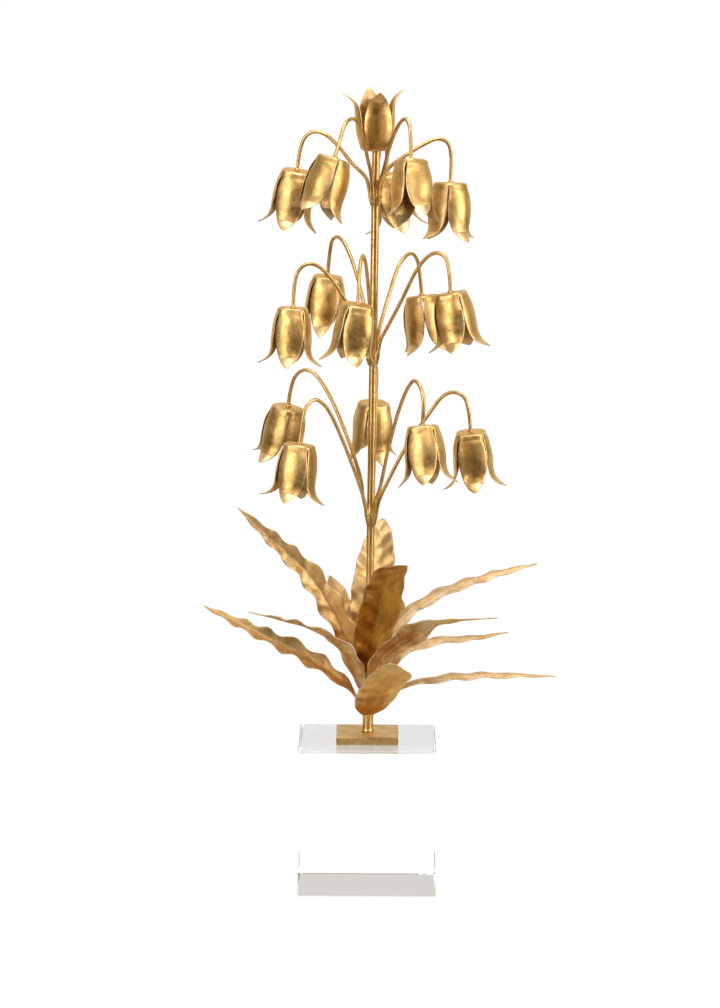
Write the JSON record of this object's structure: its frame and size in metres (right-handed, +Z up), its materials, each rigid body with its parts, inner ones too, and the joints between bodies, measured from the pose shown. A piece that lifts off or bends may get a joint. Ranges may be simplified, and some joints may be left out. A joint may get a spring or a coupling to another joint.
{
  "type": "gilded metal flower ornament on a clear block",
  "caption": "Tabletop ornament: a gilded sheet-metal lily-of-the-valley spray with bell blooms and rippled leaves, standing on a square clear acrylic block.",
  "frame": {"origin": "centre of the clear block's underside, the face that it rests on", "axes": "+Z up along the stem, -Y towards the viewer of the picture, +X to the viewer's right"},
  "size_m": [0.2601, 0.1855, 0.5908],
  "materials": {
    "clear_acrylic": "clear polished acrylic",
    "gilded_plate": "satin antique gold",
    "gilded_wire": "satin gold leaf",
    "gilded_bloom": "satin gold leaf with a fine mottled grain",
    "gilded_leaf": "satin antique gold leaf, worn paler along the edges"
  },
  "bodies": {
    "root": {"acrylic_block": "clear_acrylic", "base_plate": "gilded_plate", "stem": "gilded_wire", "bloom_top": "gilded_bloom", "wire_lower_1": "gilded_wire", "wire_lower_2": "gilded_wire", "wire_lower_3": "gilded_wire", "wire_lower_4": "gilded_wire", "wire_lower_5": "gilded_wire", "wire_middle_1": "gilded_wire", "wire_middle_2": "gilded_wire", "wire_middle_3": "gilded_wire", "wire_middle_4": "gilded_wire", "wire_middle_5": "gilded_wire", "wire_upper_1": "gilded_wire", "wire_upper_2": "gilded_wire", "wire_upper_3": "gilded_wire", "wire_upper_4": "gilded_wire", "wire_upper_5": "gilded_wire", "bloom_lower_1": "gilded_bloom", "bloom_lower_2": "gilded_bloom", "bloom_lower_3": "gilded_bloom", "bloom_lower_4": "gilded_bloom", "bloom_lower_5": "gilded_bloom", "bloom_middle_1": "gilded_bloom", "bloom_middle_2": "gilded_bloom", "bloom_middle_3": "gilded_bloom", "bloom_middle_4": "gilded_bloom", "bloom_middle_5": "gilded_bloom", "bloom_upper_1": "gilded_bloom", "bloom_upper_2": "gilded_bloom", "bloom_upper_3": "gilded_bloom", "bloom_upper_4": "gilded_bloom", "bloom_upper_5": "gilded_bloom", "leaf_upper_left": "gilded_leaf", "leaf_low_left": "gilded_leaf", "leaf_thin_left": "gilded_leaf", "leaf_short_back_left": "gilded_leaf", "leaf_tall_back": "gilded_leaf", "leaf_tall_front": "gilded_leaf", "leaf_upper_right": "gilded_leaf", "leaf_wide_right": "gilded_leaf", "leaf_middle_right": "gilded_leaf", "leaf_low_right": "gilded_leaf", "leaf_low_front": "gilded_leaf", "leaf_short_back_right": "gilded_leaf"}
  },
  "joints": []
}
